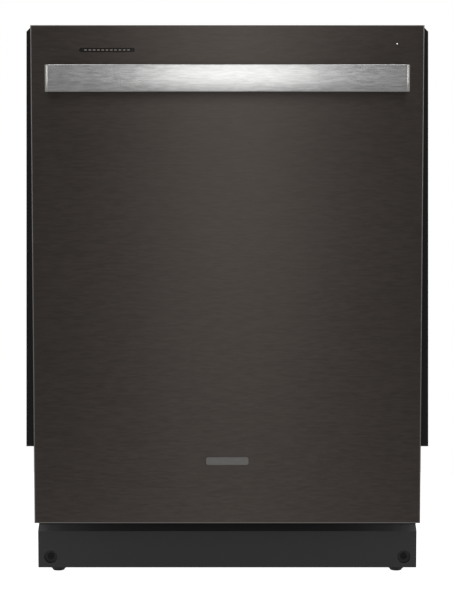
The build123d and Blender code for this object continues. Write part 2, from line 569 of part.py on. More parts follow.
    back = LINER_BACK - 5
    cup_x = -half_w + 14
    cup_z = recess_z0 + 24
    body = block(-half_w, half_w, LINER_BACK - DISPENSER_DEPTH, back, recess_z0, recess_z1)
    body += block(-half_w, half_w, back, LINER_BACK - 1, recess_z0, recess_z0 + 8)
    body += block(-half_w, half_w, back, LINER_BACK - 1, recess_z1 - 8, recess_z1)
    body -= block(cup_x, cup_x + CUP_SIZE, back - CUP_DEPTH, back + 1, cup_z, cup_z + CUP_SIZE)
    cap_x = half_w - CAP_RADIUS - 7
    cap_z = recess_z1 - 34
    body -= rod_y(cap_x, back - 10, back + 1, cap_z, 12.1)
    save("dispenser_body", body)
    lid = block(cup_x - 5, cup_x + CUP_SIZE + 3, back + 0.3, back + 0.3 + LID_THICK - 0.8, cup_z - 4,
                cup_z + CUP_SIZE + 4)
    save("dispenser_lid", fillet(lid.edges().filter_by(Axis.Y), 4))
    cap = rod_y(cap_x, back + 0.3, back + 3.3, cap_z, CAP_RADIUS) + rod_y(cap_x, back - 9, back + 1, cap_z, 12)
    cap += block(cap_x - CAP_RADIUS + 3, cap_x + CAP_RADIUS - 3, back + 3, back + 5, cap_z - 2.5, cap_z + 2.5)
    save("rinse_aid_cap", cap)

    eye_y = PIN_Y + ARM_HORN
    eye_z = PIN_Z - ARM_HORN_DROP
    arm = block(ARM_IN, ARM_OUT, DOOR_FRONT + SKIN + 1, PAN_BACK - 1, PIN_Z - 10, PIN_Z + 200)
    arm += block(ARM_IN, ARM_OUT, PAN_BACK - 2, PIN_Y, PIN_Z - 10, PIN_Z + 10)
    arm += rod_x(ARM_IN, ARM_OUT, PIN_Y, PIN_Z, 12)
    horn = [(PIN_Y, PIN_Z + 8), (eye_y + 2, eye_z + 7), (eye_y + 7, eye_z), (eye_y + 2, eye_z - 7),
            (PIN_Y, PIN_Z - 10)]
    arm += profile_x(horn, ARM_IN, ARM_OUT)
    arm -= rod_x(ARM_IN - 1, ARM_OUT + 1, PIN_Y, PIN_Z, PIN_RADIUS + PIN_CLEARANCE)
    arm -= rod_x(ARM_IN - 1, ARM_OUT + 1, eye_y, eye_z, 2.5)
    wing_front = DOOR_FRONT + SKIN + 1
    wing = block(DOOR_HALF - 30, ARM_OUT, wing_front, wing_front + 2, PIN_Z + 30, PIN_Z + 200)
    save("hinge_arms", *both_sides(arm + wing))
    start = Vector(SPRING_X, eye_y + 10, eye_z - 3)
    end = Vector(SPRING_X, SPRING_ANCHOR_Y - 10, SPRING_ANCHOR_Z + 3)
    line = end - start
    coil = Plane(origin=start, z_dir=line) * extrude(Circle(SPRING_RADIUS), amount=line.length)
    save("door_springs", *both_sides(coil))


def basket(half, z, wall, columns, rows, levels):
    """Rack as five flat wire grids that meet edge to edge."""
    depth = RACK_BACK - RACK_FRONT
    floor = Pos(0, RACK_MID, z) * window_sheet(2 * half, depth, columns, rows, WIRE)
    mid_z = z + WIRE + wall / 2
    front = window_sheet(2 * half, wall, columns, levels, WIRE)
    rear_wall = Plane((0, RACK_BACK, mid_z), (1, 0, 0), (0, -1, 0)) * front
    front_wall = Plane((0, RACK_FRONT + WIRE, mid_z), (1, 0, 0), (0, -1, 0)) * front
    side = window_sheet(depth - 2 * WIRE, wall, rows, levels, WIRE)
    right = Plane((half - WIRE, RACK_MID, mid_z), (0, 1, 0), (1, 0, 0)) * side
    left = Plane((-half, RACK_MID, mid_z), (0, 1, 0), (1, 0, 0)) * side
    return [floor, front_wall, rear_wall, right, left]


def racks():
    """Lower rack on wheels, upper rack and third rack on rails, and the cutlery basket."""
    lower = basket(LOWER_HALF, LOWER_Z, LOWER_WALL, 7, 7, 2)
    first_wheel = RACK_FRONT + WHEEL_SETBACK
    wheel_ys = {"front": first_wheel, "rear": RACK_BACK - 40}
    inner = WHEEL_X - WHEEL_WIDTH / 2
    carriers = []
    for side in (-1, 1):
        x0 = side * LOWER_HALF
        x1 = side * (LOWER_HALF + 6)
        tip = side * (WHEEL_X + WHEEL_WIDTH / 2)
        for y in wheel_ys.values():
            plate = block(x0, x1, y - 14, y + 14, WHEEL_Z - 8, LOWER_Z + 34)
            carriers.append(plate + rod_x(x1, tip, y, WHEEL_Z, AXLE_RADIUS))
    save("wheel_carriers", *carriers)
    bore = AXLE_RADIUS + AXLE_CLEARANCE
    for end, y in wheel_ys.items():
        wheel = rod_x(inner, inner + WHEEL_WIDTH, y, WHEEL_Z, WHEEL_RADIUS)
        wheel -= rod_x(inner - 1, inner + WHEEL_WIDTH + 1, y, WHEEL_Z, bore)
        save(f"{end}_rack_wheels", *both_sides(wheel))
    bx0 = -LOWER_HALF + WIRE + 6
    by0 = RACK_FRONT + WIRE + 6
    z0 = LOWER_Z + WIRE
    cutlery = block(bx0, bx0 + 84, by0, by0 + 236, z0, z0 + 118)
    for cell in range(3):
        start = by0 + 3 + cell * 77.5
        cutlery -= block(bx0 + 3, bx0 + 81, start, start + 75, z0 + 3, z0 + 119)
    save("cutlery_basket", cutlery)
    tines = []
    for x in (20, 110):
        rows = block(x, x + WIRE, RACK_MID - 150, RACK_MID + 180, z0, z0 + WIRE)
        for step in range(12):
            y = RACK_MID - 150 + step * 29
            rows += block(x, x + WIRE, y, y + WIRE, z0, z0 + 90)
        tines.append(rows)
    save("lower_rack", *lower, *tines)

    upper = basket(UPPER_HALF, UPPER_Z, UPPER_WALL, 7, 7, 2)
    arm_z = UPPER_Z - UPPER_ARM_DROP
    save("upper_arm_feed", rod_z(0, RACK_MID, arm_z - 3, UPPER_Z, SPIGOT_RADIUS),
         block(-10, 10, RACK_MID + 20, RACK_BACK, UPPER_Z - 12, UPPER_Z))
    third = basket(THIRD_HALF, THIRD_Z, THIRD_WALL, 7, 7, 1)

    rail_y0 = STEP_Y + 8
    rail_y1 = TUB_BACK - 20
    rails = []
    for name, rack, half, z in (("upper_rack", upper, UPPER_HALF, UPPER_Z + 70),
                                ("third_rack", third, THIRD_HALF, THIRD_Z + 20)):
        runner = block(half, half + 8, RACK_FRONT + 10, RACK_BACK - 10, z - 5, z + 5)
        save(name, *rack, *both_sides(runner))
        outer = half + 8 + RAIL_GAP
        lip = RAIL_HEIGHT / 2
        rail = block(half + 3, TUB_HALF, rail_y0, rail_y1, z - lip, z + lip)
        rail -= block(half + 2, outer, rail_y0 - 1, rail_y1 + 1, z - 5 - RAIL_GAP, z + 5 + RAIL_GAP)
        rails.extend(both_sides(rail))
    save("rack_rails", *rails)


def spray_arm(name, radius, y, z):
    """Flat two-bladed arm on a hub that turns on its spigot."""
    half = ARM_WIDTH / 2
    blade = SlotOverall(2 * radius, ARM_WIDTH)
    arm = Pos(0, y, z) * extrude(blade, amount=ARM_HEIGHT)
    arm += rod_z(0, y, z - 4, z + ARM_HEIGHT + 3, HUB_RADIUS)
    arm -= rod_z(0, y, z - 5, z + ARM_HEIGHT + 4, SPIGOT_RADIUS + SPIGOT_CLEARANCE)
    for side in (-1, 1):
        for step in range(4):
            x = side * (radius - half - step * radius / 5)
            arm -= rod_z(x, y + 6 * side, z + ARM_HEIGHT - 2, z + ARM_HEIGHT + 1, 2)
    save(name, arm)


tub()
front_trim()
base()
service_parts()
door()
racks()
spray_arm("lower_spray_arm", ARM_RADIUS, SUMP_Y, LOWER_ARM_Z)
spray_arm("upper_spray_arm", UPPER_ARM_RADIUS, RACK_MID, UPPER_Z - UPPER_ARM_DROP)
spray_arm("top_spray_arm", TOP_ARM_RADIUS, RACK_MID, TUB_ROOF - 30)
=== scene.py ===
import math
import bmesh
import bpy
from mathutils import Matrix, Vector


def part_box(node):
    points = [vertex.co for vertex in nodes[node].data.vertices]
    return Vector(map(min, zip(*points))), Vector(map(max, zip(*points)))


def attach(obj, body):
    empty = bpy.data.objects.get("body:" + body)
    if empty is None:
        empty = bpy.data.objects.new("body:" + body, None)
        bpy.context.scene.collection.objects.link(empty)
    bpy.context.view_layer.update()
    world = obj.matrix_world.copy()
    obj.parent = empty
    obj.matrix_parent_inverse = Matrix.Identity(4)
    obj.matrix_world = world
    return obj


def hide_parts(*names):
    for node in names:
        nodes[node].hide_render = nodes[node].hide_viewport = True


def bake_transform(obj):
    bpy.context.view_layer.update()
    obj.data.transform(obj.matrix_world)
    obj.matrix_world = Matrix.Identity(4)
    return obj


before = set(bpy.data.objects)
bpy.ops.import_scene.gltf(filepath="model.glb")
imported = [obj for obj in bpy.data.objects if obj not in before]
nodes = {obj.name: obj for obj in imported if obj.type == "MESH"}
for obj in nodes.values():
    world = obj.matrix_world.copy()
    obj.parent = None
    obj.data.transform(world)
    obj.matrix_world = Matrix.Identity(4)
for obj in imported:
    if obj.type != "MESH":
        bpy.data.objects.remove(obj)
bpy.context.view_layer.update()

# ---- Camera ---------------------------------------------------------------------------------
# A long lens a little over three metres in front of the door, at about worktop height,
# tipped five degrees down.
door_low, door_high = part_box("door_outer_panel")
camera_data = bpy.data.cameras.new("camera")
camera_data.lens = 117.4
camera_data.sensor_width = 36
camera_data.clip_end = 50
camera = bpy.data.objects.new("camera", camera_data)
bpy.context.scene.collection.objects.link(camera)
camera_side = -0.0005
camera_away = 3.0248
camera_height = 0.7148
camera_tilt = 5.06
camera.location = (camera_side, door_low.y - camera_away, camera_height)
camera.rotation_euler = (math.radians(90 - camera_tilt), 0, 0)
bpy.context.scene.camera = camera

# ---- Studio ---------------------------------------------------------------------------------
# A pale floor that runs out of sight, an even white room, a tall soft panel straight ahead for
# the bright band down the door, and softer panels above and at the sides.
bpy.context.scene.view_settings.view_transform = "Standard"


def studio_material(name, colour):
    """A matt, softly glowing surface for the floor of the studio."""
    material = bpy.data.materials.new(name)
    material.use_nodes = True
    shader = material.node_tree.nodes["Principled BSDF"]
    shader.inputs["Base Color"].default_value = (*colour, 1)
    shader.inputs["Roughness"].default_value = 0.9
    shader.inputs["Specular IOR Level"].default_value = 0.1
    shader.inputs["Emission Color"].default_value = (*colour, 1)
    return material


def make_object(build, name, *materials):
    """Turns a shape into an object at the origin, in its materials."""
    mesh = bpy.data.meshes.new(name)
    build.to_mesh(mesh)
    build.free()
    for material in materials:
        mesh.materials.append(material)
    made = bpy.data.objects.new(name, mesh)
    bpy.context.scene.collection.objects.link(made)
    return made


def spread(tree, value, low, high):
    """Spreads a value between 0 and 1 over a range of its own."""
    level = tree.nodes.new("ShaderNodeMapRange")
    level.inputs["To Min"].default_value = low
    level.inputs["To Max"].default_value = high
    tree.links.new(value, level.inputs["Value"])
    return level.outputs["Result"]


def seen_and_cast(tree, target, seen, cast):
    """One strength for what the camera sees, another for what the light does."""
    rays = tree.nodes.new("ShaderNodeLightPath")
    tree.links.new(spread(tree, rays.outputs["Is Camera Ray"], cast, seen), target)


floor_build = bmesh.new()
floor_radius = 0.80
bmesh.ops.create_circle(floor_build, cap_ends=True, segments=96, radius=floor_radius)
floor_white = studio_material("studio_white", (0.35, 0.35, 0.35))
floor = make_object(floor_build, "studio_floor", floor_white)
floor_shader = floor_white.node_tree.nodes["Principled BSDF"]
seen_and_cast(floor_white.node_tree, floor_shader.inputs["Emission Strength"], 3.0, 0.75)
room_light = 0.26
world = bpy.data.worlds.new("studio_room")
bpy.context.scene.world = world
world.use_nodes = True
room = world.node_tree
sky = room.nodes["Background"]
sky.inputs["Color"].default_value = (1, 1, 1, 1)
seen_and_cast(room, sky.inputs["Strength"], 1.0, room_light)


def soft_panel(name, place, aim, width, height, power):
    """A glowing rectangle at one place, turned towards another."""
    light = bpy.data.lights.new(name, "AREA")
    light.shape = "RECTANGLE"
    light.size = width
    light.size_y = height
    light.energy = power
    lamp = bpy.data.objects.new(name, light)
    bpy.context.scene.collection.objects.link(lamp)
    lamp.location = place
    lamp.rotation_euler = (Vector(aim) - Vector(place)).to_track_quat("-Z", "Y").to_euler()


soft_panel("front_panel", (0.03, -4.2, 1.33), (0, 0, 0.7), 0.56, 2.35, 7.2)
soft_panel("top_panel", (0, -0.5, 3.2), (0, 0, 0.4), 2.4, 2.0, 35)
soft_panel("left_panel", (-3.2, -1.2, 1.4), (0, 0, 0.5), 1.2, 2.0, 16)
soft_panel("right_panel", (3.2, -1.2, 1.4), (0, 0, 0.5), 1.2, 2.0, 16)


# ---- Door skin ------------------------------------------------------------------------------
# One sheet of dark tinted stainless, folded back round all four edges. Its grain is rolled in
# from side to side, and its side and bottom folds carry a painted highlight in a lighter colour.
def noise(tree, place, scale, detail):
    """A noise pattern laid over the given coordinates."""
    pattern = tree.nodes.new("ShaderNodeTexNoise")
    pattern.inputs["Scale"].default_value = scale
    pattern.inputs["Detail"].default_value = detail
    tree.links.new(place, pattern.inputs["Vector"])
    return pattern


def stretched(tree, place, scale):
    """Coordinates drawn out along some axes."""
    stretch = tree.nodes.new("ShaderNodeMapping")
    stretch.inputs["Scale"].default_value = scale
    tree.links.new(place, stretch.inputs["Vector"])
    return stretch.outputs["Vector"]


def tint_skin(tree, pattern, colour, drift):
    """Lets the base colour drift darker and lighter with a pattern."""
    tint = tree.nodes.new("ShaderNodeMix")
    tint.data_type = "RGBA"
    tint.inputs["A"].default_value = (*[c * (1 - drift) for c in colour], 1)
    tint.inputs["B"].default_value = (*[min(1, c * (1 + drift)) for c in colour], 1)
    tree.links.new(pattern, tint.inputs["Factor"])
    tree.links.new(tint.outputs["Result"], tree.nodes["Principled BSDF"].inputs["Base Color"])


def roughen(tree, pattern, rough, give):
    """Varies the roughness a little either way with a pattern."""
    target = tree.nodes["Principled BSDF"].inputs["Roughness"]
    tree.links.new(spread(tree, pattern, rough - give, rough + give), target)


def raise_grain(tree, pattern, strength, depth):
    """Raises a fine relief from a pattern."""
    relief = tree.nodes.new("ShaderNodeBump")
    relief.inputs["Strength"].default_value = strength
    relief.inputs["Distance"].default_value = depth
    tree.links.new(pattern, relief.inputs["Height"])
    tree.links.new(relief.outputs["Normal"], tree.nodes["Principled BSDF"].inputs["Normal"])


def steel(name, colour, grain, rough, give, wear=0.12, axis="X", drag=0.0):
    """Brushed metal whose fine streaks run along one axis of the object."""
    material = bpy.data.materials.new(name)
    material.use_nodes = True
    tree = material.node_tree
    shader = tree.nodes["Principled BSDF"]
    shader.inputs["Metallic"].default_value = 1.0
    shader.inputs["Anisotropic"].default_value = drag
    shader.inputs["Anisotropic Rotation"].default_value = 0.25
    place = tree.nodes.new("ShaderNodeTexCoord").outputs["Object"]
    long_draw, short_draw = 0.012, 0.16
    scale = [long_draw if axis == name_of_axis else 1 for name_of_axis in "XYZ"]
    streaks = noise(tree, stretched(tree, place, scale), grain, 5)
    streaks.inputs["Roughness"].default_value = 0.65
    flecks = noise(tree, stretched(tree, place, [max(part, short_draw) for part in scale]), grain * 0.42, 2)
    sharpen = tree.nodes.new("ShaderNodeMapRange")
    sharpen.inputs["From Min"].default_value = 0.32
    sharpen.inputs["From Max"].default_value = 0.68
    tree.links.new(flecks.outputs["Fac"], sharpen.inputs["Value"])
    brushing = tree.nodes.new("ShaderNodeMix")
    brushing.inputs["Factor"].default_value = 0.55
    tree.links.new(streaks.outputs["Fac"], brushing.inputs["A"])
    tree.links.new(sharpen.outputs["Result"], brushing.inputs["B"])
    clouds = noise(tree, place, 3.5, 3)
    mixed = tree.nodes.new("ShaderNodeMath")
    mixed.operation = "ADD"
    half = tree.nodes.new("ShaderNodeMath")
    half.operation = "MULTIPLY"
    half.inputs[1].default_value = 0.5
    tree.links.new(brushing.outputs["Result"], mixed.inputs[0])
    tree.links.new(clouds.outputs["Fac"], mixed.inputs[1])
    tree.links.new(mixed.outputs[0], half.inputs[0])
    tint_skin(tree, brushing.outputs["Result"], colour, wear)
    roughen(tree, half.outputs[0], rough, give)
    raise_grain(tree, streaks.outputs["Fac"], 0.03, 0.0004)
    return material


def finish_node(name, material):
    """Gives a carried-over CAD piece its finish."""
    mesh = nodes[name].data
    mesh.materials.clear()
    mesh.materials.append(material)


def painted_light_rims(material, piece, rims, colour):
    """Paints a lighter colour, painted light, onto a piece past the given limits along its axes."""
    tree = material.node_tree
    shader = tree.nodes["Principled BSDF"]
    shift = nodes[piece].matrix_world.translation
    place = tree.nodes.new("ShaderNodeTexCoord")
    parts = tree.nodes.new("ShaderNodeSeparateXYZ")
    tree.links.new(place.outputs["Object"], parts.inputs["Vector"])
    painted_light_mask = None
    for axis, sense, limit in rims:
        near = tree.nodes.new("ShaderNodeMath")
        near.operation = sense
        near.inputs[1].default_value = limit - shift["XYZ".index(axis)]
        tree.links.new(parts.outputs[axis], near.inputs[0])
        if painted_light_mask:
            both = tree.nodes.new("ShaderNodeMath")
            both.operation = "MAXIMUM"
            tree.links.new(painted_light_mask, both.inputs[0])
            tree.links.new(near.outputs[0], both.inputs[1])
            painted_light_mask = both.outputs[0]
        else:
            painted_light_mask = near.outputs[0]
    rim = tree.nodes.new("ShaderNodeMix")
    rim.data_type = "RGBA"
    rim.inputs["B"].default_value = (*colour, 1)
    skin = shader.inputs["Base Color"].links[0].from_socket
    tree.links.new(painted_light_mask, rim.inputs["Factor"])
    tree.links.new(skin, rim.inputs["A"])
    tree.links.new(rim.outputs["Result"], shader.inputs["Base Color"])


dark_steel = steel("dark_brushed_steel", (0.091, 0.0775, 0.070), 900, 0.33, 0.05, wear=0.17, drag=0.87)
# The side and bottom folds of the door are painted lighter: a painted highlight for the light the rounded
# edges catch.
fold = 0.0019
rims = (("X", "LESS_THAN", door_low.x + fold), ("X", "GREATER_THAN", door_high.x - fold),
        ("Z", "LESS_THAN", door_low.z + fold))
painted_light_rims(dark_steel, "door_outer_panel", rims, (0.26, 0.245, 0.235))
finish_node("door_outer_panel", dark_steel)


# ---- Bar handle -----------------------------------------------------------------------------
# A flat stainless bar with rounded long edges. Its ends turn back into two thin posts that
# stand on the door skin, each held by a screw from inside.
def new_mesh():
    """An empty shape to build a piece in."""
    return bmesh.new()


def finish_piece(build, name, body, material, stands_for=(), second=None):
    """Cleans a shape, makes it an object at the origin, and ties it to its CAD body."""
    bmesh.ops.remove_doubles(build, verts=build.verts, dist=0.000005)
    bmesh.ops.recalc_face_normals(build, faces=build.faces)
    for face in build.faces:
        face.smooth = True
    sharp_from = math.radians(35)
    for edge in build.edges:
        edge.smooth = len(edge.link_faces) == 2 and edge.calc_face_angle(0) < sharp_from
    piece = make_object(build, name, *[used for used in (material, second) if used])
    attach(piece, body)
    if stands_for:
        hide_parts(*stands_for)


def add_box(build, corner, opposite, bevel=0.0, segments=3, edges=None, index=0):
    """A box between two opposite corners, with all its edges or the chosen ones rounded."""
    made = bmesh.ops.create_cube(build, size=1)
    corners = made["verts"]
    size = [abs(opposite[i] - corner[i]) for i in range(3)]
    middle = [(opposite[i] + corner[i]) / 2 for i in range(3)]
    bmesh.ops.scale(build, vec=size, verts=corners)
    bmesh.ops.translate(build, vec=middle, verts=corners)
    around = {edge for vert in corners for edge in vert.link_edges}
    for face in {face for vert in corners for face in vert.link_faces}:
        face.material_index = index
    if bevel:
        picked = [edge for edge in around if edges is None or edges(edge)]
        bmesh.ops.bevel(build, geom=picked, offset=bevel, segments=segments, profile=0.5,
                        affect="EDGES", material=-1, clamp_overlap=True)


def along(axis):
    """Chooses the edges of a box that run along one axis."""
    return lambda edge: abs((edge.verts[0].co - edge.verts[1].co).normalized()[axis]) > 0.9


def add_rod(build, start, end, radius, sides=16, radius_end=None, index=0):
    """A round bar, or a cone, from one point to another."""
    start, end = Vector(start), Vector(end)
    line = end - start
    turn = line.to_track_quat("Z", "Y").to_matrix().to_4x4()
    place = Matrix.Translation((start + end) / 2) @ turn
    made = bmesh.ops.create_cone(build, cap_ends=True, segments=sides, radius1=radius,
                                 radius2=radius if radius_end is None else radius_end,
                                 depth=line.length, matrix=place)
    for face in {face for vert in made["verts"] for face in vert.link_faces}:
        face.material_index = index


def add_turned(build, outline, centre, axis=(0, 0, 1), steps=32, index=0):
    """A turned shape: an outline of (radius, height) points spun once about an axis."""
    verts = [build.verts.new((radius, 0, height)) for radius, height in outline]
    edges = [build.edges.new(pair) for pair in zip(verts, verts[1:])]
    bmesh.ops.spin(build, geom=verts + edges, cent=(0, 0, 0), axis=(0, 0, 1), dvec=(0, 0, 0),
                   angle=math.tau, steps=steps, use_merge=True, use_duplicate=False)
    made = set(verts)
    reach = list(made)
    while reach:
        vert = reach.pop()
        for edge in vert.link_edges:
            other = edge.other_vert(vert)
            if other not in made:
                made.add(other)
                reach.append(other)
    turn = Vector(axis).to_track_quat("Z", "Y").to_matrix().to_4x4()
    bmesh.ops.transform(build, matrix=Matrix.Translation(centre) @ turn, verts=list(made))
    for face in {face for vert in made for face in vert.link_faces}:
        face.material_index = index


bright_steel = steel("bright_satin_steel", (0.64, 0.64, 0.635), 900, 0.24, 0.05, wear=0.20, drag=0.85)
# The end posts take a lighter copy of the steel: a painted highlight for the bright strips down the bar's
# ends.
end_highlight_steel = steel("handle_end_painted_highlight", (0.74, 0.73, 0.70), 900, 0.26, 0.03, wear=0.04, axis="Z")
handle_low, handle_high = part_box("bar_handle")
handle = new_mesh()
bar_thick = 0.011
post = 0.0053
add_box(handle, (handle_low.x + post, handle_low.y + 0.0001, handle_low.z),
        (handle_high.x - post, handle_low.y + bar_thick, handle_high.z), 0.0010, 3, edges=along(0))
end_lean = 0.0004
for x, inner in ((handle_low.x, handle_low.x + post), (handle_high.x - post, handle_high.x - post)):
    before = set(handle.verts)
    add_box(handle, (x, handle_low.y, handle_low.z), (x + post, handle_low.y + bar_thick, handle_high.z),
            0.0005, 2, index=1)
    for vert in set(handle.verts) - before:
        if vert.co.y < handle_low.y + bar_thick / 2 and abs(vert.co.x - inner) < post / 2:
            vert.co.y += end_lean
    add_box(handle, (x, handle_low.y + bar_thick - 0.001, handle_low.z + 0.0015),
            (x + post, handle_high.y, handle_high.z - 0.0015), 0.0008, 3)
finish_piece(handle, "satin_bar_handle", "door", bright_steel, ["bar_handle"],
             second=end_highlight_steel)


# ---- Door plastics --------------------------------------------------------------------------
# Matt black moulded parts: the console strip along the top of the door, the side strips that
# close the gap to the cabinets, and the toe panel with a lip along its slanted top.
def moulded(name, colour, rough, grain=2600, bump=0.12, blotch=0.12, sheen=0.0, gloss=0.4):
    """Moulded plastic or rubber with a fine spark texture and slight colour drift."""
    material = bpy.data.materials.new(name)
    material.use_nodes = True
    tree = material.node_tree
    shader = tree.nodes["Principled BSDF"]
    shader.inputs["Sheen Weight"].default_value = sheen
    shader.inputs["Specular IOR Level"].default_value = gloss
    place = tree.nodes.new("ShaderNodeTexCoord").outputs["Object"]
    fine = noise(tree, place, grain, 2)
    broad = noise(tree, place, 11, 4)
    tint_skin(tree, broad.outputs["Fac"], colour, blotch)
    roughen(tree, broad.outputs["Fac"], rough, 0.07)
    raise_grain(tree, fine.outputs["Fac"], bump, 0.0002)
    return material


black_plastic = moulded("black_moulding", (0.016, 0.016, 0.0165), 0.5)
toe_black = moulded("toe_panel_black", (0.046, 0.046, 0.046), 0.5)
strip_black = moulded("side_strip_black", (0.011, 0.011, 0.011), 0.55, gloss=0.3)
for name in ("console_strip", "wash_pump", "drain_pump"):
    finish_node(name, black_plastic)
toe_low, toe_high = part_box("toe_panel")
slant_foot = toe_high.z - 0.0088
slant_back = toe_low.y + 0.016
# The slanted top of the toe panel is painted a lighter grey: painted light on the slant that lies under the
# door's overhang.
painted_light_rims(toe_black, "toe_panel", [("Z", "GREATER_THAN", slant_foot)], (0.085, 0.085, 0.085))
finish_node("toe_panel", toe_black)
finish_node("side_strips", strip_black)
toe_lip = new_mesh()
lip_root = 0.002
lip_height = 0.005
lip_thick = 0.002
add_box(toe_lip, (toe_low.x, slant_back - 0.0005, toe_high.z - lip_root),
        (toe_high.x, slant_back + lip_thick, toe_high.z + lip_height), 0.0005, 2)
finish_piece(toe_lip, "toe_panel_lip", "cabinet", black_plastic)
base_black = moulded("base_tray_black", (0.022, 0.022, 0.023), 0.6, bump=0.2)
finish_node("base_tray", base_black)


# ---- Base tray ribs -------------------------------------------------------------------------
# Upright ribs are moulded in one with the tray, down the outside of both its long sides. They
# stiffen the black plastic walls behind the hinge brackets.
tray_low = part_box("base_tray")[0]
tray_side = toe_high.x - 0.022
ribs = new_mesh()
rib_count = 9
rib_pitch = 0.050
rib_half = 0.0015
rib_foot = tray_low.z + 0.0035
rib_top = tray_low.z + 0.060
for side in (-1, 1):
    for number in range(rib_count):
        y = -0.110 + number * rib_pitch
        add_box(ribs, (side * (tray_side - 0.0005), y - rib_half, rib_foot),
                (side * (tray_side + 0.0035), y + rib_half, rib_top), 0.0006, 2)
finish_piece(ribs, "base_tray_ribs", "cabinet", base_black)


# ---- Indicator window, light and badge ------------------------------------------------------
# A smoked window in a slot, with a row of small light bars behind it, a single white light at
# the other end of the door, and a small blank metal badge low down.
smoked = moulded("smoked_window", (0.010, 0.008, 0.007), 0.12, bump=0.0)
finish_node("indicator_window", smoked)


def lit(name, colour, strength):
    """A lens that gives off an even light of its own."""
    material = moulded(name, colour, 0.3, bump=0.0)
    shader = material.node_tree.nodes["Principled BSDF"]
    shader.inputs["Emission Color"].default_value = (*colour, 1)
    shader.inputs["Emission Strength"].default_value = strength
    return material


led_glow = lit("white_light", (0.95, 0.97, 1.0), 0.8)
finish_node("status_led", smoked)
led_low, led_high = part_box("status_led")
lamp_lens = new_mesh()
add_turned(lamp_lens, [(0, -0.0003), (0.0006, -0.00025), (0.00095, 0), (0.00095, 0.0006), (0, 0.0006)],
           ((led_low.x + led_high.x) / 2, led_low.y, (led_low.z + led_high.z) / 2), axis=(0, 1, 0), steps=24)
finish_piece(lamp_lens, "status_lens", "door", led_glow)
window_low, window_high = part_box("indicator_window")
bars = new_mesh()
bar_count = 11
bar_pitch = 0.0066
bar_half = 0.0019
slot_x = (window_low.x + window_high.x) / 2
slot_z = (window_low.z + window_high.z) / 2
for number in range(bar_count):
    x = slot_x + (number - (bar_count - 1) / 2) * bar_pitch
    add_box(bars, (x - bar_half, window_low.y - 0.0002, slot_z - 0.0007),
            (x + bar_half, window_low.y + 0.0003, slot_z + 0.0007), 0.0001, 1)
finish_piece(bars, "indicator_bars", "door", lit("dim_light_bars", (0.30, 0.25, 0.22), 0.25))
badge_steel = steel("badge_steel", (0.30, 0.29, 0.28), 1400, 0.35, 0.05)
finish_node("blank_badge", badge_steel)


# ---- Toe panel screws and levelling feet ----------------------------------------------------
# Black screws sit in round recesses of the toe panel. The feet are moulded cups that widen
# upwards, each on a threaded stem. The stems and the machine's brackets are zinc-plated steel.
zinc = steel("zinc_plate", (0.50, 0.50, 0.49), 260, 0.38, 0.08, wear=0.2, axis="Z")
for name in ("handle_screws", "counter_brackets", "latch_strike", "junction_box"):
    finish_node(name, zinc)
screw_black = steel("black_oxide", (0.030, 0.030, 0.030), 500, 0.48, 0.05, axis="Z")
finish_node("toe_panel_screws", screw_black)
foot_black = moulded("foot_black", (0.02, 0.02, 0.02), 0.55)


def add_foot(build, x, y, top):
    """A moulded cup on the floor and the threaded stem above it."""
    outline = [(0, 0), (0.0088, 0), (0.0095, 0.0008), (0.0099, 0.0018), (0.0130, 0.0046), (0.0140, 0.0057),
               (0.0140, 0.0116), (0.0136, 0.0120), (0, 0.0120)]
    add_turned(build, outline, (x, y, 0), steps=40)
    thread = [(0.0, 0.0118), (0.0040, 0.0118)]
    pitch = 0.002
    for turn in range(int((top - 0.013) / pitch)):
        z = 0.0125 + turn * pitch
        thread += [(0.0033, z), (0.0040, z + pitch / 2)]
    thread += [(0.0033, top), (0.0, top)]
    add_turned(build, thread, (x, y, 0), steps=20, index=1)


for name in ("front_left_foot", "front_right_foot", "rear_feet"):
    low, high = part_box(name)
    centres = [(low.x + high.x) / 2]
    if name == "rear_feet":
        centres = [low.x + 0.014, high.x - 0.014]
    feet = new_mesh()
    for x in centres:
        add_foot(feet, x, (low.y + high.y) / 2, high.z)
    finish_piece(feet, name + "_cup", name, foot_black, [name], second=zinc)


# ---- Tub ------------------------------------------------------------------------------------
# Polished stainless sheet, welded from a wrapper, a back and a floor. Behind it lies a heavy
# black felt that deadens the sound, and round its mouth a black rubber seal.
tub_steel = steel("tub_steel", (0.62, 0.62, 0.63), 700, 0.24, 0.06, wear=0.06, axis="Y")
for name in ("tub_wrapper", "tub_back", "tub_floor"):
    finish_node(name, tub_steel)
liner_steel = steel("liner_steel", (0.62, 0.62, 0.63), 700, 0.26, 0.06, wear=0.06)
finish_node("door_liner", liner_steel)
rubber = moulded("black_rubber", (0.012, 0.012, 0.012), 0.62, grain=900, bump=0.1)
for name in ("tub_gasket", "door_bottom_seal"):
    finish_node(name, rubber)


def felt(name, colour, fibre):
    """Matt felt with a coarse fibre relief."""
    return moulded(name, colour, 0.9, grain=fibre, bump=0.7, blotch=0.3, sheen=0.3)


finish_node("sound_blanket", felt("bitumen_felt", (0.035, 0.034, 0.033), 420))
finish_node("door_felt", felt("white_felt", (0.55, 0.54, 0.51), 500))


# ---- Tub pressings, lip and blanket bindings ------------------------------------------------
# The back sheet is stiffened by pressed beads, and the floor turns up at the mouth in a low lip.
# The blanket has bound edges and foil tape over its joints, and a blank label is stuck on the back.
floor_low, floor_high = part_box("tub_floor")
back_low, back_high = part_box("tub_back")
blanket_low, blanket_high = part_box("sound_blanket")
lip = new_mesh()
lip_half = back_high.x + 0.013
lip_top = floor_high.z - 0.0012
lip_drop = 0.018
add_box(lip, (-lip_half, floor_low.y - 0.0024, floor_low.z - lip_drop), (lip_half, floor_low.y, lip_top),
        0.0008, 3)
roll_y, roll_z = floor_low.y - 0.0014, lip_top - 0.0012
add_rod(lip, (-lip_half, roll_y, roll_z), (lip_half, roll_y, roll_z), 0.0018, 12)
finish_piece(lip, "tub_front_lip", "cabinet", tub_steel)

